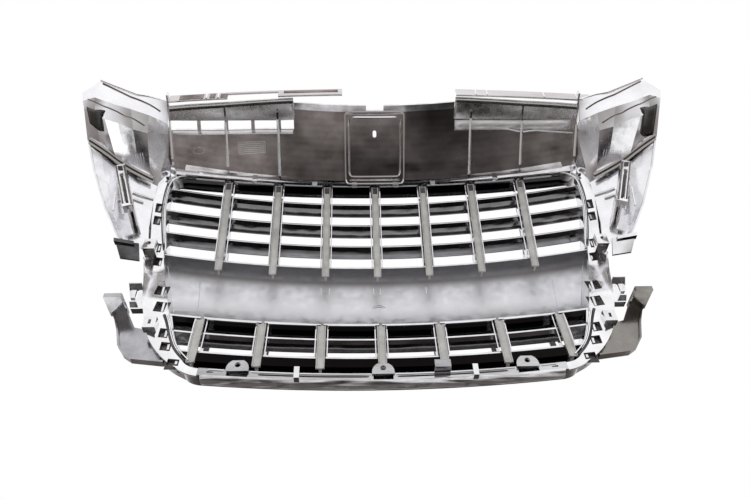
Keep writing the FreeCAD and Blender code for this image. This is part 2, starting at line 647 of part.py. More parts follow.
def bosses():
    """Upper boss with a round bore and lower boss with a square one, both hollow underneath."""
    def upper_hollow(y):
        bore = Part.makeCylinder(3.2, 10, vec(296, y + 6, 152), vec(0, 1, 0))
        return bore.fuse(box(289, 299.5, y + 2, y + 12, 141, 146))

    def lower_hollow(y):
        bore = box(258.5, 261.5, y + 2, y + 12, 7, 13)
        return bore.fuse(box(255, 265, y + 1, y + 7, 1, 5))

    return [box_boss(287, 302, 142, 160, 15, upper_hollow), box_boss(253, 267, 2, 17, 9, lower_hollow)]


def flag_tab():
    """Tab under the wing's foot that overlaps the wing liner, with a ledge along its top."""
    plate = sheet([[(309, 79, 153), (332, 95, 142)], [(304, 73, 128), (326, 80, 126)]], (0, -2.4, 0))
    ledge = sheet([[(313, 86, 150), (333, 99, 143)], [(312, 85, 145), (332, 98, 138)]], (0, -7, 0))
    return joined(plate, ledge)


def corner_clip():
    """Half loop at the upper corner of the frame."""
    middle = vec(298, 90.5, 273)
    back = vec(0, 1, 0)
    loop = Part.makeCylinder(10, 6, middle, back).cut(Part.makeCylinder(6.5, 6, middle, back))
    return loop.common(box(280, 320, 80, 110, 268, 300))


def panel_catches():
    """Small catches standing down from the front edge of the closing panel."""
    catches = []
    for x in CATCH_X:
        y = swept(x, 60.5)
        catches.append(box(x - 3.5, x + 3.5, y, y + 2.2, 283, 293.5))
    return catches


def pair(name, shape):
    keep(name + "_left", shape)
    keep(name + "_right", mirrored(shape))


def build():
    cells()
    ring = surround().fuse([h for hook_ in snap_hooks() for h in (hook_, mirrored(hook_))])
    keep("surround", ring)
    keep("plate_bar", plate_bar())
    pair("side_rail", side_rail())
    keep("bottom_rail", bottom_rail())
    keep("lower_lip", lower_lip())
    keep("closing_panel", closing_panel())
    for name, sign in (("left", 1), ("right", -1)):
        keep("rear_apron_" + name, rear_apron(sign))
        keep("rear_lip_" + name, rear_lip(sign))
    keep("latch_cover", latch_cover())
    pair("wing", wing())
    pair("wing_post", joined(wing_post(), *post_stay()))
    pair("side_arm", side_arm())
    pair("hook", hook())
    pair("flag_tab", flag_tab())
    pair("corner_clip", corner_clip())
    keep("rail_bosses", Part.makeCompound(bosses() + [mirrored(b) for b in bosses()]))
    keep("panel_catches", Part.makeCompound(panel_catches()))
    keep("box_bracket", box(-74, -56, 66, 80, -46, -36).cut(box(-72, -58, 62, 78, -44, -38)))
    posts = [box(91, 97, 69, 80, -57, -42), box(-103, -97, 69, 80, -57, -42)]
    keep("clip_posts", Part.makeCompound(posts))


build()
os.makedirs("parts", exist_ok=True)
total = FreeCAD.BoundBox()
for name, shape in PARTS.items():
    moved = shape.copy()
    moved.translate(vec(*MOVE))
    moved.exportStep("parts/" + name + ".step")
    total.add(moved.BoundBox)
    print("%-18s solids %2d valid %s" % (name, len(moved.Solids), moved.isValid()), round(moved.Volume))
print("bounds", total)
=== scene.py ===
import bmesh
import bpy
import json
import math
from mathutils import Matrix, Vector
from mathutils.bvhtree import BVHTree


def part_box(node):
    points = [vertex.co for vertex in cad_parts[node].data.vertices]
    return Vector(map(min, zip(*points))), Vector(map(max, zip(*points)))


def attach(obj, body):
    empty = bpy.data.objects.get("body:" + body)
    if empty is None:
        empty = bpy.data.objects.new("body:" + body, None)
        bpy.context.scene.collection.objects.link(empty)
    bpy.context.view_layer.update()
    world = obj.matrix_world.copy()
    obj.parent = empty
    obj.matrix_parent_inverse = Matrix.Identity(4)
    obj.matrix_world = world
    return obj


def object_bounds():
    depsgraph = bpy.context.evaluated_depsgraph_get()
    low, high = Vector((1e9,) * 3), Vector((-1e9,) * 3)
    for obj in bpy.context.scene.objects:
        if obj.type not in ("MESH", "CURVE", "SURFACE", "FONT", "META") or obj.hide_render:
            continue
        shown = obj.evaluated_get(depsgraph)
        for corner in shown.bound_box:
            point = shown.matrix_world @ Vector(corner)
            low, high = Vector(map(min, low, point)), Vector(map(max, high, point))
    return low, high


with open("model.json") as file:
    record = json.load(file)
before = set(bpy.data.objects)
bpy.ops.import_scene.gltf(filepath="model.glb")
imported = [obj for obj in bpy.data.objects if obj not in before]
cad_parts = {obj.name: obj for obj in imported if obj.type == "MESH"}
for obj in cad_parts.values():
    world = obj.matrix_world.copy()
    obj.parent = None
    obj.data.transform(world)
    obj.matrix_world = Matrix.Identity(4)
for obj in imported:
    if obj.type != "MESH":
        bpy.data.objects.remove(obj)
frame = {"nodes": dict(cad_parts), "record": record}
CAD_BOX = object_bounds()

scene = bpy.context.scene
scene.view_settings.view_transform = "Standard"

# ---- camera: behind the grille and well below it, looking up and forward -------------------------
CAMERA_PLACE = (0.0276, 0.56134, -0.3862)
CAMERA_PITCH = 45.0
CAMERA_YAW = -2.30
CAMERA_ROLL = -2.29
CAMERA_LENS = 30.72
SENSOR_WIDTH = 36.0


def add_camera():
    pitch, yaw, roll = (math.radians(a) for a in (CAMERA_PITCH, CAMERA_YAW, CAMERA_ROLL))
    look = Vector((math.sin(yaw) * math.cos(pitch), -math.cos(yaw) * math.cos(pitch), math.sin(pitch)))
    level = look.cross(Vector((0, 0, 1))).normalized()
    upright = level.cross(look)
    right = math.cos(roll) * level + math.sin(roll) * upright
    up = -math.sin(roll) * level + math.cos(roll) * upright
    basis = Matrix((right, up, -look)).transposed()
    data = bpy.data.cameras.new("camera")
    data.lens = CAMERA_LENS
    data.sensor_width = SENSOR_WIDTH
    data.clip_start = 0.01
    data.clip_end = 20.0
    camera = bpy.data.objects.new("camera", data)
    camera.matrix_world = Matrix.Translation(CAMERA_PLACE) @ basis.to_4x4()
    scene.collection.objects.link(camera)
    scene.camera = camera


# ---- shader nodes --------------------------------------------------------------------------------
def node(tree, kind, settings=(), **values):
    """One shader node, with its properties from settings and its input values by name."""
    made = tree.nodes.new(kind)
    for key, value in dict(settings).items():
        setattr(made, key, value)
    for key, value in values.items():
        made.inputs[key.replace("_", " ")].default_value = value
    return made


def ramp_between(tree, source, low, high, dark, light):
    """A value that goes from dark to light while source goes from low to high."""
    made = node(tree, "ShaderNodeMapRange", From_Min=low, From_Max=high, To_Min=dark, To_Max=light)
    tree.links.new(source, made.inputs["Value"])
    return made.outputs["Result"]


def colour_ramp(tree, source, stops):
    """A colour that source picks from stops, each a place from 0 to 1 and its colour."""
    made = node(tree, "ShaderNodeValToRGB")
    elements = made.color_ramp.elements
    while len(elements) < len(stops):
        elements.new(0.5)
    for element, (place, colour) in zip(elements, stops):
        element.position = place
        element.color = colour
    tree.links.new(source, made.inputs["Fac"])
    return made.outputs["Color"]


# ---- surroundings --------------------------------------------------------------------------------
SKY_AXIS = (0.0, -0.30, -0.954)
SKY_STOPS = ((0.0, (1.02, 1.02, 1.03, 1)), (0.30, (0.93, 0.93, 0.95, 1)), (0.50, (0.62, 0.61, 0.62, 1)),
             (0.62, (0.38, 0.36, 0.35, 1)), (0.78, (0.27, 0.24, 0.23, 1)), (0.88, (0.17, 0.148, 0.142, 1)),
             (0.94, (0.012, 0.011, 0.012, 1)), (1.0, (0.006, 0.006, 0.007, 1)))


def add_world():
    """A graded surround, bright overhead and dark below. The camera itself sees plain white."""
    world = bpy.data.worlds.new("studio")
    scene.world = world
    world.use_nodes = True
    tree = world.node_tree
    tree.nodes.clear()
    link = tree.links.new
    along = node(tree, "ShaderNodeVectorMath", {"operation": "DOT_PRODUCT"})
    along.inputs[1].default_value = Vector(SKY_AXIS).normalized()
    link(node(tree, "ShaderNodeTexCoord").outputs["Generated"], along.inputs[0])
    share = ramp_between(tree, along.outputs["Value"], -1.0, 1.0, 0.0, 1.0)
    graded = node(tree, "ShaderNodeBackground")
    link(colour_ramp(tree, share, SKY_STOPS), graded.inputs["Color"])
    white = node(tree, "ShaderNodeBackground", Color=(1, 1, 1, 1), Strength=1.0)
    mix = node(tree, "ShaderNodeMixShader")
    link(node(tree, "ShaderNodeLightPath").outputs["Is Camera Ray"], mix.inputs["Fac"])
    link(graded.outputs["Background"], mix.inputs[1])
    link(white.outputs["Background"], mix.inputs[2])
    link(mix.outputs["Shader"], node(tree, "ShaderNodeOutputWorld").inputs["Surface"])


def add_area(name, place, aim, size, power):
    """A rectangular light at place that faces aim."""
    data = bpy.data.lights.new(name, "AREA")
    data.shape = "RECTANGLE"
    data.size, data.size_y = size
    data.energy = power
    lamp = bpy.data.objects.new(name, data)
    direction = Vector(aim) - Vector(place)
    lamp.matrix_world = Matrix.Translation(place) @ direction.to_track_quat("-Z", "Y").to_matrix().to_4x4()
    scene.collection.objects.link(lamp)
    return lamp


# ---- finishes ------------------------------------------------------------------------------------
STRAIGHT_DOWN = -0.97         # a normal's height on a face that counts as looking straight down
LOOKS_DOWN = (-0.15, -0.45)   # the painted side shades come in between these two normal heights
SHADE_REACH = 0.3             # they run this far out each way, in metres
SHADE_MEET = (-0.020, 0.045)  # from front to back, where the first gives way to the second
CLOUD_RANGE = (0.38, 0.72)    # noise values between which the tint turns into the stain
POLISH_RANGE = (0.3, 0.75)    # noise values between which the roughness goes through its spread
POLISH_SPREAD = (0.7, 1.45)


def side_shade(tree, where, downward, shade, shade_back):
    """Painted shade on faces that look down: the tint left from side to side by shade, then shade_back
    behind.
    """
    link = tree.links.new
    place = node(tree, "ShaderNodeSeparateXYZ")
    link(where, place.inputs["Vector"])
    sideways = ramp_between(tree, place.outputs["X"], -SHADE_REACH, SHADE_REACH, 0.0, 1.0)
    halves = node(tree, "ShaderNodeMix", {"data_type": "RGBA"})
    for half, table in (("A", shade), ("B", shade_back)):
        stops = [((x + SHADE_REACH) / (2 * SHADE_REACH), (left, left, left, 1)) for x, left in table]
        link(colour_ramp(tree, sideways, stops), halves.inputs[half])
    link(ramp_between(tree, place.outputs["Y"], *SHADE_MEET, 0.0, 1.0), halves.inputs["Factor"])
    below = node(tree, "ShaderNodeMix", {"data_type": "RGBA"})
    below.inputs["A"].default_value = (1, 1, 1, 1)
    link(halves.outputs["Result"], below.inputs["B"])
    link(ramp_between(tree, downward, *LOOKS_DOWN, 0.0, 1.0), below.inputs["Factor"])
    return below.outputs["Result"]


def relief(tree, texture, output, vector, depth, normal):
    """Add the relief of one texture to the normal found so far, if there is one."""
    link = tree.links.new
    bump = node(tree, "ShaderNodeBump", Strength=1.0, Distance=depth)
    link(vector, texture.inputs["Vector"])
    link(texture.outputs[output], bump.inputs["Height"])
    if normal is not None:
        link(normal, bump.inputs["Normal"])
    return bump.outputs["Normal"]


def chrome(name, tint, stain, roughness, grain=0.000012, grain_scale=700.0, ripple=0.0, ripple_scale=28.0,
           under=1.0, under_to=-0.70, shade=(), shade_back=(), lines=0.0, stretch=1.0):
    """Plated plastic: cloudy tint, uneven polish, fine moulding grain and slow ripples, with painted shade.

    under is how much of the tint is left on faces that look straight down, a painted shade, and under_to the
    height of the normal from which all of it is left. shade is how much is left at some places from side to
    side on the underside, also painted shade, and shade_back the same for its rear half. lines is the depth
    of the fine ribbing left by the mould, and stretch how much longer the stains and ripples are from side
    to side than front to back.
    """
    material = bpy.data.materials.new(name)
    material.use_nodes = True
    tree = material.node_tree
    link = tree.links.new
    shader = tree.nodes["Principled BSDF"]
    shader.inputs["Metallic"].default_value = 1.0
    where = node(tree, "ShaderNodeTexCoord").outputs["Object"]
    drawn = node(tree, "ShaderNodeMapping")
    drawn.inputs["Scale"].default_value = (1.0 / stretch, 1.0, 1.0)
    link(where, drawn.inputs["Vector"])
    long_way = drawn.outputs["Vector"]

    cloud = node(tree, "ShaderNodeTexNoise", Scale=34.0, Detail=5.0, Roughness=0.62)
    link(long_way, cloud.inputs["Vector"])
    mix = node(tree, "ShaderNodeMix", {"data_type": "RGBA"})
    mix.inputs["A"].default_value = (*tint, 1)
    mix.inputs["B"].default_value = (*stain, 1)
    link(ramp_between(tree, cloud.outputs["Fac"], *CLOUD_RANGE, 0.0, 1.0), mix.inputs["Factor"])
    colour = mix.outputs["Result"]

    facing = node(tree, "ShaderNodeSeparateXYZ")
    link(node(tree, "ShaderNodeNewGeometry").outputs["Normal"], facing.inputs["Vector"])
    # painted shade: the tint is darkened on faces that look down, and from side to side on the underside
    shades = []
    if under < 1.0:
        shades.append(ramp_between(tree, facing.outputs["Z"], STRAIGHT_DOWN, under_to, under, 1.0))
    if shade:
        shades.append(side_shade(tree, where, facing.outputs["Z"], shade, shade_back))
    for left in shades:
        darker = node(tree, "ShaderNodeVectorMath", {"operation": "MULTIPLY"})
        link(colour, darker.inputs[0])
        link(left, darker.inputs[1])
        colour = darker.outputs["Vector"]
    link(colour, shader.inputs["Base Color"])

    polish = node(tree, "ShaderNodeTexNoise", Scale=95.0, Detail=4.0, Roughness=0.6)
    link(where, polish.inputs["Vector"])
    least, most = (roughness * share for share in POLISH_SPREAD)
    link(ramp_between(tree, polish.outputs["Fac"], *POLISH_RANGE, least, most), shader.inputs["Roughness"])

    normal = None
    for scale, depth, detail in ((grain_scale, grain, 3.0), (ripple_scale, ripple, 1.0)):
        if depth > 0.0:
            noise = node(tree, "ShaderNodeTexNoise", Scale=scale, Detail=detail)
            normal = relief(tree, noise, "Fac", long_way, depth, normal)
    if lines > 0.0:
        wave = node(tree, "ShaderNodeTexWave", {"bands_direction": "Z"},
                    Scale=62.0, Distortion=0.6, Detail=1.0)
        normal = relief(tree, wave, "Fac", where, lines, normal)
    if normal is not None:
        link(normal, shader.inputs["Normal"])
    return material


# painted shade on the closing panel's underside: places from side to side in metres, and the share of the
# tint that is left there
PANEL_SHADE = ((-0.29, 0.66), (-0.25, 0.62), (-0.17, 0.34), (-0.09, 0.22), (-0.046, 0.30), (-0.043, 0.16),
               (0.043, 0.16), (0.046, 0.36), (0.11, 0.34), (0.17, 0.92), (0.28, 1.0))
PANEL_BACK_SHADE = ((-0.29, 0.66), (-0.25, 0.58), (-0.17, 0.20), (-0.08, 0.06), (-0.046, 0.26),
                    (-0.043, 0.62), (0.043, 0.70), (0.050, 0.95), (0.100, 0.80), (0.125, 0.30),
                    (0.17, 0.78), (0.28, 1.0))
# under and shade in these finishes paint shade into the tint on faces that look down
FINISHES = {
    "bright_chrome": dict(tint=(0.88, 0.88, 0.90), stain=(0.72, 0.72, 0.73), roughness=0.07, under=0.30),
    # painted shade: the cell frames almost black where they look down
    "cell_chrome": dict(tint=(0.88, 0.88, 0.90), stain=(0.72, 0.72, 0.73), roughness=0.07, under=0.05,
                        under_to=-0.55),
    "back_chrome": dict(tint=(0.94, 0.94, 0.95), stain=(0.74, 0.73, 0.73), roughness=0.11, ripple=0.0012,
                        under=0.25),
    "rail_chrome": dict(tint=(0.68, 0.68, 0.69), stain=(0.34, 0.33, 0.33), roughness=0.16, ripple=0.0016,
                        ripple_scale=90.0, under=0.5, stretch=5.0),
    "satin_chrome": dict(tint=(0.97, 0.97, 0.99), stain=(0.84, 0.84, 0.85), roughness=0.22, grain=0.000004,
                         ripple=0.0018),
    # painted shade: the plate bar darker wherever it looks down at all
    "plate_chrome": dict(tint=(0.97, 0.97, 1.0), stain=(0.90, 0.90, 0.92), roughness=0.42, grain=0.0,
                         under=0.20, under_to=0.02),
    "frosted_chrome": dict(tint=(0.56, 0.555, 0.53), stain=(0.46, 0.455, 0.43), roughness=0.46,
                           grain=0.0007, grain_scale=330.0),
    "panel_chrome": dict(tint=(0.98, 0.97, 0.97), stain=(0.62, 0.59, 0.58), roughness=0.20, grain=0.000006,
                         ripple=0.0045, ripple_scale=20.0, shade=PANEL_SHADE, shade_back=PANEL_BACK_SHADE,
                         lines=0.00004),
    "edge_chrome": dict(tint=(1.0, 1.0, 1.0), stain=(0.92, 0.92, 0.92), roughness=0.13),
    "lip_chrome": dict(tint=(0.98, 0.98, 1.0), stain=(0.62, 0.61, 0.61), roughness=0.52, ripple=0.013,
                       ripple_scale=110.0, stretch=6.0),
    "side_chrome": dict(tint=(0.98, 0.98, 0.99), stain=(0.82, 0.82, 0.83), roughness=0.13, ripple=0.0009,
                        under=0.7),
    # painted shade: the darker brown tint of the right side arm
    "tan_shade_chrome": dict(tint=(0.31, 0.295, 0.272), stain=(0.22, 0.21, 0.20), roughness=0.16, ripple=0.0012),
    # painted shade: the darker brownish tint of the rear lips
    "shelf_chrome": dict(tint=(0.62, 0.58, 0.585), stain=(0.80, 0.78, 0.79), roughness=0.18, ripple=0.0012,
                         stretch=4.0),
    "sill_chrome": dict(tint=(0.70, 0.69, 0.70), stain=(0.54, 0.53, 0.53), roughness=0.20, ripple=0.0012,
                        stretch=4.0),
    "apron_chrome": dict(tint=(0.74, 0.72, 0.71), stain=(0.38, 0.35, 0.34), roughness=0.26, grain=0.000006,
                         ripple=0.0040, ripple_scale=24.0, stretch=3.0),
    # painted shade: near-black skins and beads put where recesses, grooves and creases are in shade
    "recess_shade_chrome": dict(tint=(0.05, 0.05, 0.05), stain=(0.14, 0.13, 0.12), roughness=0.25),
    # painted shade: the darker tint of the left side arm and the box bracket
    "arm_chrome": dict(tint=(0.50, 0.50, 0.52), stain=(0.30, 0.30, 0.31), roughness=0.15, ripple=0.0012),
    # painted shade: the near-black tint of the left flag tab
    "hook_shade_chrome": dict(tint=(0.16, 0.16, 0.165), stain=(0.06, 0.06, 0.06), roughness=0.30, grain=0.0002),
    "ramp_chrome": dict(tint=(1.0, 0.99, 0.99), stain=(0.85, 0.84, 0.84), roughness=0.5, ripple=0.002),
    # painted shade: dark brown patches on the left rear lip, and beads along wing creases and post edges
    "brown_shade_chrome": dict(tint=(0.17, 0.13, 0.12), stain=(0.42, 0.37, 0.36), roughness=0.22, ripple=0.002),
}
MATERIALS = {name: chrome(name, **finish) for name, finish in FINISHES.items()}
SLOTS = {part["node"]: part["material_slot"] for part in frame["record"]["subparts"]}
# the nodes whose finish isn't the plain one of their slot, many of them with painted shade: darker tints on
# the rear lips, arms, box bracket and left flag tab, and darker undersides elsewhere
SPECIAL = {"upper_cell_frame": "cell_chrome", "lower_cell_frame": "cell_chrome",
           "rear_lip_left": "shelf_chrome", "rear_lip_right": "shelf_chrome", "box_bracket": "arm_chrome",
           "lower_lip": "lip_chrome", "plate_bar": "plate_chrome", "bottom_rail": "rail_chrome",
           "rear_apron_left": "apron_chrome", "rear_apron_right": "apron_chrome",
           "side_arm_left": "arm_chrome", "side_arm_right": "tan_shade_chrome",
           "side_rail_left": "side_chrome", "side_rail_right": "side_chrome", "flag_tab_left": "hook_shade_chrome"}
CURVED = ("wing_left", "wing_right", "plate_bar", "surround")   # curved shells, which keep their own edges
WELD_REACH = 0.00001
EDGE_RADIUS = 0.0005


def finish_nodes():
    """Each CAD node gets its finish, and the plain prismatic ones rounded edges that catch the light."""
    for name, obj in frame["nodes"].items():
        obj.data.materials.clear()
        obj.data.materials.append(MATERIALS[SPECIAL.get(name, SLOTS[name])])
        if SLOTS[name] == "panel_chrome" or name.startswith(CURVED):
            continue
        obj.modifiers.new("weld", "WELD").merge_threshold = WELD_REACH
        edge = obj.modifiers.new("edge", "BEVEL")
        edge.width = EDGE_RADIUS
        edge.segments = 2
        edge.limit_method = "ANGLE"
        edge.angle_limit = math.radians(40)


finish_nodes()

# ---- moulded details, laid out in millimetres from the part's own working origin -----------------
NOSE = Vector((0.0, -0.09866, 0.0598))   # the working origin, in metres
PLAN_RADIUS = 1290.0
# the rear face on the middle line: height, then depth
REAR = ((-80, 69), (-34, 63.5), (29, 57), (80, 42), (137, 27.5), (200, 40), (275, 56), (320, 62))
BARS_X = [(i - 3) * 70.0 for i in range(7)]
OPENING_X = 262
CELL_ARCH = 0.00016                      # how the cells' top wall drops away from the middle
LIP_TOP, LIP_ARCH = 365, 0.000205        # how high the rear lips are in the middle, and how they drop
POST_RISE = 74                           # the height over which a wing post's lean is given
RIBS_X = (138, 211, 287)
# the closing panel's rear edge: how far out, then how far back
PANEL_EDGE = ((286, 139), (248, 136), (212, 134), (174, 132.5), (138, 131), (115, 130))
# the snap windows: how far out, at what height, and each one's own width and height
WINDOWS = ((297, 220, 8, 15), (296, 200, 9, 14), (289, 158, 9, 14), (285, 135, 11, 15),
           (267, 77, 11, 19), (259, 45, 12, 19), (245, 2, 10, 14), (239, -17, 11, 12), (227, -38, 12, 9))
SIDES = ((1, "left"), (-1, "right"))
BELOW_ALL, BEHIND_ALL = -200, 400        # where the rays that look for a surface start


def at(x, y, z):
    return NOSE + Vector((x, y, z)) / 1000


def spaced(a, b, count):
    return [a + (b - a) * i / (count - 1) for i in range(count)]


def mirrored(points, side):
    return [at(side * x, y, z) for x, y, z in points]


def met(path):
    """The places on a path where the rays met the surface."""
    return [place for place in path if place is not None]


def rear_face(x, z, inset=0.0):
    """The grille's rear face at x and z, carried out on the plan curve."""
    for (za, ya), (zb, yb) in zip(REAR, REAR[1:]):
        if za <= z <= zb:
            y = ya + (yb - ya) * (z - za) / (zb - za) - inset
    radius = PLAN_RADIUS - y
    return at(x, PLAN_RADIUS - math.sqrt(radius * radius - x * x), z)


def panel_edge(x):
    """How far back the closing panel's rear edge is, x out from the middle."""
    for (xa, ya), (xb, yb) in zip(PANEL_EDGE, PANEL_EDGE[1:]):
        if xb <= x <= xa:
            return yb + (ya - yb) * (x - xb) / (xa - xb)


def lip_top(x):
    """How high the rear lips reach at x."""
    return LIP_TOP - LIP_ARCH * x * x


def skin(*names):
    """The surface of these CAD nodes, to lay details on."""
    verts, faces = [], []
    for name in names:
        mesh = frame["nodes"][name].data
        start = len(verts)
        verts += [v.co.copy() for v in mesh.vertices]
        faces += [[start + i for i in p.vertices] for p in mesh.polygons]
    return BVHTree.FromPolygons(verts, faces)


def from_below(surface, x, y, lift=0.0):
    """Where a ray straight up meets the surface, lifted off it, or None."""
    hit = surface.ray_cast(at(x, y, BELOW_ALL), Vector((0, 0, 1)))[0]
    return hit - Vector((0, 0, lift / 1000)) if hit else None


def from_behind(surface, x, z, lift=0.0):
    """Where a ray straight forward meets the surface, lifted off it, or None."""
    hit = surface.ray_cast(at(x, BEHIND_ALL, z), Vector((0, -1, 0)))[0]
    return hit + Vector((0, lift / 1000, 0)) if hit else None


def dress(obj, finish):
    """Link a new piece, give it its finish and let it ride on the part."""
    scene.collection.objects.link(obj)
    obj.data.materials.append(MATERIALS[finish])
    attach(obj, "root")


def beads(name, paths, radius, finish="edge_chrome", closed=False, sharp=False):
    """Round beads, or sharp ridges, along smooth paths, all in one piece."""
    data = bpy.data.curves.new(name, "CURVE")
    data.dimensions = "3D"
    data.bevel_depth = radius / 1000
    data.bevel_resolution = 0 if sharp else 3
    data.use_fill_caps = True
    for path in map(met, paths):
        if len(path) < 2:
            continue
        spline = data.splines.new("NURBS")
        spline.points.add(len(path) - 1)
        for point, place in zip(spline.points, path):
            point.co = (*place, 1)
        spline.order_u = 3
        spline.use_endpoint_u = not closed
        spline.use_cyclic_u = closed
        spline.resolution_u = 4
        spline.use_smooth = not sharp
    dress(bpy.data.objects.new(name, data), finish)


def as_object(name, shape):
    """The finished shape as a new object."""
    bmesh.ops.recalc_face_normals(shape, faces=shape.faces)
    mesh = bpy.data.meshes.new(name)
    shape.to_mesh(mesh)
    shape.free()
    return bpy.data.objects.new(name, mesh)


def slabs(name, strips, finish="bright_chrome", edge=0.25):
    """Thin walls: each strip is a path with the two vectors of its rectangular section, in millimetres."""
    shape = bmesh.new()
    for path, wide, deep in strips:
        wide, deep = Vector(wide) / 1000, Vector(deep) / 1000
        path = met(path)
        if len(path) < 2:
            continue
        rings = []
        for place in path:
            corners = (place, place + wide, place + wide + deep, place + deep)
            rings.append([shape.verts.new(c) for c in corners])
        for ring, following in zip(rings, rings[1:]):
            for i in range(4):
                j = (i + 1) % 4
                shape.faces.new((ring[i], ring[j], following[j], following[i]))
        shape.faces.new(rings[0][::-1])
        shape.faces.new(rings[-1])
    obj = as_object(name, shape)
    if edge:
        bevel = obj.modifiers.new("edge", "BEVEL")
        bevel.width = edge / 1000
        bevel.segments = 2
        bevel.limit_method = "ANGLE"
    dress(obj, finish)


def sheet(name, rows, thick, finish):
    """A smooth sheet, this many millimetres thick, through rows of places."""
    shape = bmesh.new()
    verts = [[shape.verts.new(place) for place in row] for row in rows]
    for a, b in zip(verts, verts[1:]):
        for i in range(len(a) - 1):
            shape.faces.new((a[i], a[i + 1], b[i + 1], b[i]))
    obj = as_object(name, shape)
    for face in obj.data.polygons:
        face.use_smooth = True
    wall = obj.modifiers.new("wall", "SOLIDIFY")
    wall.thickness = thick / 1000
    wall.offset = 0.0
    dress(obj, finish)


def cell_rims():
    """Thin bright walls that edge each cell beside the bars and under its top wall."""
    ends = [-OPENING_X] + BARS_X + [OPENING_X]
    for name, low, high, arch, tops in (("cell_rims_upper", 153, 292.0, CELL_ARCH, ends),
                                        ("cell_rims_lower", -18, 33.0, 0.0, BARS_X)):
        strips = []
        for x_bar in BARS_X:
            for side in (-1, 1):
                x = x_bar + side * 6.2
                path = [rear_face(x, z, 3.0) for z in spaced(low, high - arch * x * x, 7)]
                strips.append((path, (side * 1.5, 0, 0), (0, -8, 0)))
        for x_a, x_b in zip(tops, tops[1:]):
            path = [rear_face(x, high - arch * x * x, -0.3) for x in spaced(x_a + 6.5, x_b - 6.5, 4)]
            strips.append((path, (0, 0, -2.8), (0, -2.2, 0)))
        slabs(name, strips)


def bar_notch_shades():
    """Dark skins painted as the shade over the tops of the upper bars, whose frosted faces end short of the
    top wall.
    """
    bars = skin(*(f"upper_bar_{i + 1}" for i in range(len(BARS_X))))
    wide = 9.6
    notch_shades = []
    for x in BARS_X:
        top = 294.0 - CELL_ARCH * x * x
        down = met(from_behind(bars, x, z, 0.3) for z in spaced(top, top - 19.0, 12))
        notch_shades.append(([place - Vector((wide / 2000, 0, 0)) for place in down], (wide, 0, 0), (0, -0.8, 0)))
    slabs("bar_notch_shades", notch_shades, finish="recess_shade_chrome", edge=0)


def opening_rims():
    """Rolled edge that follows the opening at each side, with a dark bead outside it painted as the shade of
    a groove.
    """
    side_run = ((262, 283.5), (274, 281), (283, 274), (288, 264), (290, 250), (290, 222), (284, 182),
                (278, 155))
    low_run = ((247, 32), (243, 24), (232, -8), (222, -24), (212, -33))
    rims, narrow, broad = [], [], []
    for side in (1, -1):
        for run in (side_run, low_run):
            rims.append([rear_face(side * x, z, -0.4) for x, z in run])
        narrow.append([rear_face(side * (x + 3.4), z, 0.4) for x, z in side_run[3:]])
        broad.append([rear_face(side * (x + 3.8), z - 1.5, 0.9) for x, z in low_run])
    beads("opening_rims", rims, 0.9)
    # painted shade: dark beads that stand for the groove outside each rim
    beads("opening_groove_shades", narrow, 1.0, finish="recess_shade_chrome")
    beads("corner_groove_shades", broad, 1.9, finish="recess_shade_chrome")


def ramp_strip():
    """Light strip that closes the gap between the right apron and the closing panel."""
    panel = skin("closing_panel")
    rows = []
    for x in (-116, -126, -148, -160, -175, -190, -203, -220, -235, -250, -265, -280):
        near = from_below(panel, x, panel_edge(-x) - 2.0, 0.5)
        far = near + Vector((0, 0.0125, 0.0070 + 0.001 * (x + 116) / 168))
        rows.append((near, near + (far - near) * 0.5 - Vector((0, 0, 0.0008)), far))
    sheet("ramp_strip", rows, 0.8, "ramp_chrome")


def lip_details():
    """Thin brown patches of painted shade along the left rear lip, and posts along both."""
    shade_patches = ((272, 239, 2, 13), (231, 223, 2, 13), (216, 206, 4, 13), (141, 52, 2.5, 8))
    for side, word, plates_at, posts_at, radius in ((1, "left", shade_patches, (235, 219, 203, 146), 1.3),
                                                    (-1, "right", (), (286, 240, 160, 144), 0.8)):
        surface = skin(f"rear_lip_{word}")
        plates = []
        for x_a, x_b, drop, foot in plates_at:
            path = []
            for x in spaced(x_a, x_b, 8):
                place = from_behind(surface, side * x, lip_top(x) - 0.5 * (drop + foot), 0.5)
                if place is not None:
                    path.append(Vector((place.x, place.y, at(0, 0, lip_top(x) - drop).z)))
            plates.append((path, (0, -1.0, 0), (0, 0, drop - foot)))
        if plates:
            # painted shade: thin brown patches on the left lip only
            slabs(f"lip_shade_patches_{word}", plates, finish="brown_shade_chrome", edge=0.2)
        posts = [[from_behind(surface, side * x, lip_top(x) - z, 0.4) for z in spaced(1.5, 13.5, 4)]
                 for x in posts_at]
        beads(f"lip_posts_{word}", posts, radius)


def lower_lip_details():
    """Twin bead along the rear of the lower lip, the rolls of the rail above it, and a dark bead of painted
    shade in its crease.
    """
    surface = skin("lower_lip")
    low, high = ((corner - NOSE) * 1000 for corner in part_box("lower_lip"))
    paths = []
    for share in (0.30, 0.72):
        path = []
        for x in spaced(-205, 205, 21):
            heights = [z for z in spaced(low.z, high.z, 40) if from_behind(surface, x, z)]
            if heights:
                path.append(from_behind(surface, x, heights[0] + share * (heights[-1] - heights[0]), 0.2))
        paths.append(path)
    beads("lower_lip_beads", paths, 1.1, sharp=True)
    rail = skin("bottom_rail", "lower_lip")
    rolls = []
    for a, b in ((-204, -173), (-144, -14), (14, 144), (173, 204)):
        rolls.append([from_behind(rail, x, -44.9, -0.5) for x in spaced(a, b, max(3, int((b - a) / 12)))])
    beads("rail_rolls", rolls, 1.6, finish="bright_chrome")
    # painted shade: a dark bead along the rail's crease
    crease = [from_behind(rail, x, -48.2, 0.1) for x in spaced(-190, 190, 31)]
    beads("rail_crease_shade", [crease], 0.9, finish="recess_shade_chrome")


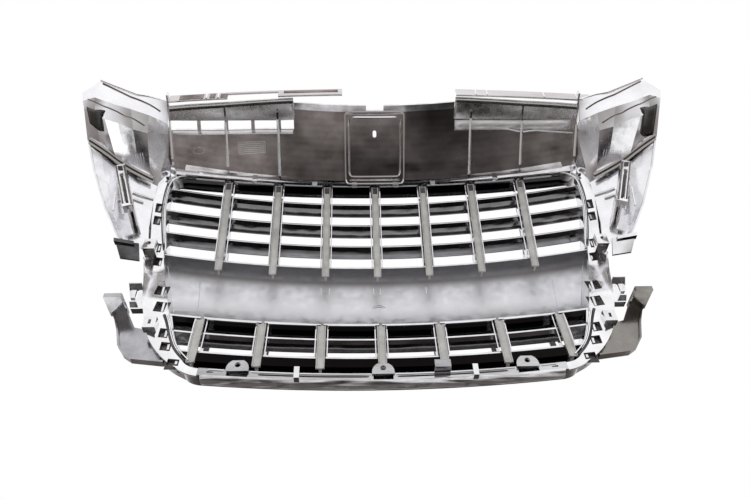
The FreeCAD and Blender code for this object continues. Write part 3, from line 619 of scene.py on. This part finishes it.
def plate_details():
    """Pin marks, knock-out mark and two mould seams on the rear of the number plate bar."""
    surface = skin("plate_bar")
    pins = [[from_behind(surface, x, z, 0.2) for z in spaced(130, 139, 3)] for x in (77, 66, 5, -4, -67)]
    beads("plate_pins", pins, 0.9)
    arcs = [[from_behind(surface, wide * math.cos(t) - 1, z + high * math.sin(t), 0.1)
             for t in spaced(a, b, 7)]
            for wide, high, z, a, b in ((9, 7, 105, 0.3, 2.8), (6, 3, 106, 0.2, 3.0))]
    beads("plate_knock_out_mark", arcs, 0.7, finish="plate_chrome")
    seams = [[from_behind(surface, side * (238 - 0.10 * (135 - z)), z, 0.0) for z in spaced(136, 60, 9)]
             for side in (1, -1)]
    beads("plate_seams", seams, 0.35, finish="plate_chrome")


def rail_details():
    """Dark skins behind the snap windows of the side rails, painted as the shade in the windows."""
    margin = 3
    for side, word in SIDES:
        plates = []
        for x, z, wide, high in WINDOWS:
            half = Vector(((wide / 2 + margin) / 1000, 0, 0))
            ends = [rear_face(side * x, z + way * (high / 2 + margin), 3.2) - half for way in (-1, 1)]
            plates.append((ends, (wide + 2 * margin, 0, 0), (0, -0.6, 0)))
        slabs(f"rail_pocket_shades_{word}", plates, finish="recess_shade_chrome", edge=0)


def post_middle(z):
    """How far out the middle of a wing post is at this height."""
    return 321 + (z - 184) * 26 / POST_RISE


def post_back(z):
    """Where the rear face of a wing post is at this height."""
    return 118 + (z - 187) * 9 / POST_RISE


def post_details():
    """Ribs below the wing posts, and each post's edge beads, socket and slot, dark with painted shade."""
    for side, word in SIDES:
        surface = skin(f"wing_{word}", f"wing_post_{word}")
        ribs = [[from_behind(surface, side * (x_top + (x_foot - x_top) * k / 5), 222 - 6 * k, 0.8)
                 for k in range(6)] for x_top, x_foot in ((348, 345), (341, 334))]
        beads(f"post_ribs_{word}", ribs, 1.0)
        post = skin(f"wing_post_{word}")
        edges = [[from_behind(post, side * (post_middle(z) + off), z, 0.2) for z in spaced(187, 255, 9)]
                 for off in (-5.4, 5.4)]
        # painted shade: dark brown beads along the post's edges
        beads(f"post_beads_{word}", edges, 1.2, finish="brown_shade_chrome")
        # painted shade: dark skins over the socket and the slot
        dark = []
        for half, top, foot in ((3.2, 254, 246), (1.8, 236, 190)):
            down = []
            for z in spaced(top, foot, 4):
                place = from_behind(post, side * post_middle(z), z)
                if place is not None:
                    down.append(Vector((place.x - half / 1000, at(0, post_back(z) + 0.4, 0).y, place.z)))
            dark.append((down, (2 * half, 0, 0), (0, -0.9, 0)))
        slabs(f"post_socket_shades_{word}", dark, finish="recess_shade_chrome", edge=0)


def wing_pocket_shades():
    """A dark sheet painted as the shade of the corner recess at the outer end of each wing, less deep on the
    left.
    """
    for side, word in SIDES:
        surface = skin(f"wing_{word}")
        rows = []
        for s in spaced(0.0, 1.0, 6):
            row = []
            for t in spaced(0.0, 1.0, 6):
                x = (1 - t) * (387 - 3 * s) + t * (358 + 6 * s)
                z_foot = 293 - 11 * t if side > 0 else 282 - 2 * t
                row.append(from_behind(surface, side * x, (1 - s) * (306 - 14 * t) + s * z_foot, 0.7))
            rows.append(row)
        sheet(f"wing_pocket_shade_{word}", rows, 0.6, "recess_shade_chrome")


def latch_ring(panel, x, y_front, y_back):
    """A rounded rectangle on the underside of the latch cover."""
    corner = 5.0
    ring = []
    for side, near, far in ((1, y_front, y_back), (-1, y_back, y_front)):
        along = [from_below(panel, side * x, y, 0.3) for y in spaced(near, far, 6)[1:-1]]
        for y, start, run in ((near + side * corner, -90 * side, along),
                              (far - side * corner, 90 - 90 * side, [])):
            for k in range(4):
                a = math.radians(start + 30 * k)
                ring.append(from_below(panel, side * (x - corner) + corner * math.cos(a),
                                       y + corner * math.sin(a), 0.3))
            ring += run
    return ring


def panel_details():
    """Ribs, sill, latch frame and moulding marks on the underside of the closing panel."""
    panel = skin("closing_panel", "latch_cover")
    for side, word in SIDES:
        ribs = []
        for x in RIBS_X:
            run = met(from_below(panel, side * x, y, 0.2) for y in spaced(63, 138, 6))
            ribs.append(run + [run[-1] + Vector((0, 0.009, 0.0045))])
        beads(f"panel_rib_beads_{word}", ribs, 1.9, sharp=True)
    sill = [from_below(panel, x, panel_edge(x) - 1.6) for x in spaced(284, 117, 12)]
    slabs("window_sill", [(sill, (0, 1.2, 0), (0, 0, -8.5))], finish="sill_chrome")
    edge = [from_below(panel, x, 132.5, 0.3) for x in spaced(-284, -118, 10)]
    beads("ramp_edge_bead", [edge], 1.1)
    for name, x, y0, y1 in (("latch_frame_outer", 42.5, 64, 149), ("latch_frame_inner", 37.0, 70, 144)):
        beads(name, [latch_ring(panel, x, y0, y1)], 1.4, closed=True, sharp=True)
    tabs = []
    for x in (30, -30):
        place = from_below(panel, x - 4, 63.5)
        tabs.append(([place, place + Vector((0.008, 0, 0))], (0, 4, 0), (0, 0, -4)))
    slabs("latch_tabs", tabs, edge=0.6)
    grid = [[from_below(panel, x, y, 0.1) for x in spaced(196, 158, 5)] for y in spaced(104, 118, 7)]
    grid += [[from_below(panel, x, y, 0.1) for y in spaced(104, 118, 3)] for x in spaced(196, 158, 15)]
    beads("panel_grid", grid, 0.3)
    oval = [from_below(panel, 251 + 8 * math.cos(t), 112 + 4 * math.sin(t), 0.1)
            for t in spaced(0, math.tau * 15 / 16, 16)]
    beads("panel_oval_mark", [oval], 0.35, finish="panel_chrome", closed=True)


def apron_details():
    """A bead, and a dark bead painted as the shade of a groove, along the rear edge of each apron, and its
    stiff inner end.
    """
    rear_edge = ((286, 170), (258, 171), (211, 171.4), (174, 172), (137, 172.6), (115, 173))
    for side, word in SIDES:
        apron = skin(f"rear_apron_{word}")
        # painted shade: the groove is a dark bead
        for kind, back, radius, finish in (("beads", 2.5, 1.1, "edge_chrome"),
                                           ("groove", 5.5, 1.5, "recess_shade_chrome")):
            path = [from_below(apron, side * x, y - back, 0.2) for x, y in rear_edge]
            beads(f"apron_{kind}_{word}", [path], radius, finish=finish,
                  sharp=kind == "beads")
        end = [from_below(apron, side * 116.2, y, 0.2) for y in spaced(144, 170, 4)]
        beads(f"apron_end_{word}", [end], 1.5, sharp=True)


def wing_details():
    """Creases and spine groove as dark beads of painted shade, the spine, stiffening bars and moulding marks
    on each wing's rear.
    """
    spine = ((386, 148, 279), (369, 137, 274), (349, 121, 266), (326, 105, 262), (308, 97, 257))
    folds = (((384, 311), (359, 297), (333, 290), (306, 291)),
             ((370, 340), (350, 332), (332, 325), (308, 321), (292, 319)))
    bars = ((331, 306, 233), (329, 304, 223))
    steps = 5
    for side, word in SIDES:
        surface = skin(f"wing_{word}")
        creases = []
        for fold in folds:
            places = []
            for (xa, za), (xb, zb) in zip(fold, fold[1:]):
                for k in range(steps):
                    x, z = xa + (xb - xa) * k / steps, za + (zb - za) * k / steps
                    places.append(from_behind(surface, side * x, z, 0.5))
            creases.append(places)
        # painted shade: dark beads along the creases
        beads(f"wing_creases_{word}", creases, 0.9, finish="brown_shade_chrome")
        lower = [(x, y + 1.5, z - 3.5) for x, y, z in spine]
        upper = [(x, y + 4.5, z + 2.0) for x, y, z in spine]
        beads(f"wing_spine_{word}", [mirrored(upper, side), mirrored(lower, side)], 2.0,
              sharp=True)
        # painted shade: a dark bead in the spine's groove
        groove = [(x, y + 3.2, z - 0.8) for x, y, z in spine]
        beads(f"wing_groove_shade_{word}", [mirrored(groove, side)], 1.5, finish="recess_shade_chrome")
        paths = [[from_behind(surface, side * x, z, 0.6) for x in spaced(a, b, 3)] for a, b, z in bars]
        beads(f"wing_bars_{word}", paths, 2.0, finish="satin_chrome")
        marks = [[from_below(surface, side * x, y, 0.2) for y in spaced(121, 134, 3)]
                 for x in spaced(318, 340, 8)]
        beads(f"wing_grid_{word}", marks, 0.5, finish="satin_chrome")


cell_rims()
bar_notch_shades()
opening_rims()
ramp_strip()
lip_details()
lower_lip_details()
plate_details()
rail_details()
post_details()
wing_pocket_shades()
panel_details()
apron_details()
wing_details()

# ---- studio --------------------------------------------------------------------------------------
FLOOR_REACH = 3.0
FLOOR_GAP = 0.0006
CARD_X, CARD_Y, CARD_Z = 0.49, -0.05, -0.03
CARD_SIZE = (0.26, 0.24)
CARD_POWERS = ((1, 0.28), (-1, 0.20))    # the left side's, then the right side's


def floor_paper():
    """Pale paper with a faint fibre. Seen from below it gives way to the white backdrop."""
    material = bpy.data.materials.new("floor_paper")
    material.use_nodes = True
    tree = material.node_tree
    link = tree.links.new
    shader = tree.nodes["Principled BSDF"]
    shader.inputs["Roughness"].default_value = 0.7
    fibre = node(tree, "ShaderNodeTexNoise", Scale=260.0, Detail=4.0)
    link(node(tree, "ShaderNodeTexCoord").outputs["Object"], fibre.inputs["Vector"])
    mix = node(tree, "ShaderNodeMix", {"data_type": "RGBA"})
    mix.inputs["A"].default_value = (0.86, 0.86, 0.85, 1)
    mix.inputs["B"].default_value = (0.90, 0.90, 0.89, 1)
    link(fibre.outputs["Fac"], mix.inputs["Factor"])
    link(mix.outputs["Result"], shader.inputs["Base Color"])
    clear = node(tree, "ShaderNodeBsdfTransparent")
    choose = node(tree, "ShaderNodeMixShader")
    link(node(tree, "ShaderNodeNewGeometry").outputs["Backfacing"], choose.inputs["Fac"])
    link(shader.outputs["BSDF"], choose.inputs[1])
    link(clear.outputs["BSDF"], choose.inputs[2])
    link(choose.outputs["Shader"], tree.nodes["Material Output"].inputs["Surface"])
    return material


def add_floor():
    """A pale studio floor just under the grille."""
    mesh = bpy.data.meshes.new("floor")
    low = CAD_BOX[0][2] - FLOOR_GAP
    corners = [(x * FLOOR_REACH, y * FLOOR_REACH, low) for x, y in ((-1, -1), (1, -1), (1, 1), (-1, 1))]
    mesh.from_pydata(corners, [], [(0, 1, 2, 3)])
    mesh.materials.append(floor_paper())
    floor = bpy.data.objects.new("floor", mesh)
    scene.collection.objects.link(floor)
    floor.visible_glossy = False
    floor.visible_diffuse = False
    floor.visible_shadow = False


def add_cards():
    """A light card under each side of the grille, unseen by the camera."""
    for side, power in CARD_POWERS:
        place = Vector((side * CARD_X, CARD_Y, CARD_Z))
        card = add_area(f"card_{side}", place, place + Vector((0, 0, 0.53)), CARD_SIZE, power)
        card.visible_camera = False


add_floor()
add_cards()
add_camera()
add_world()
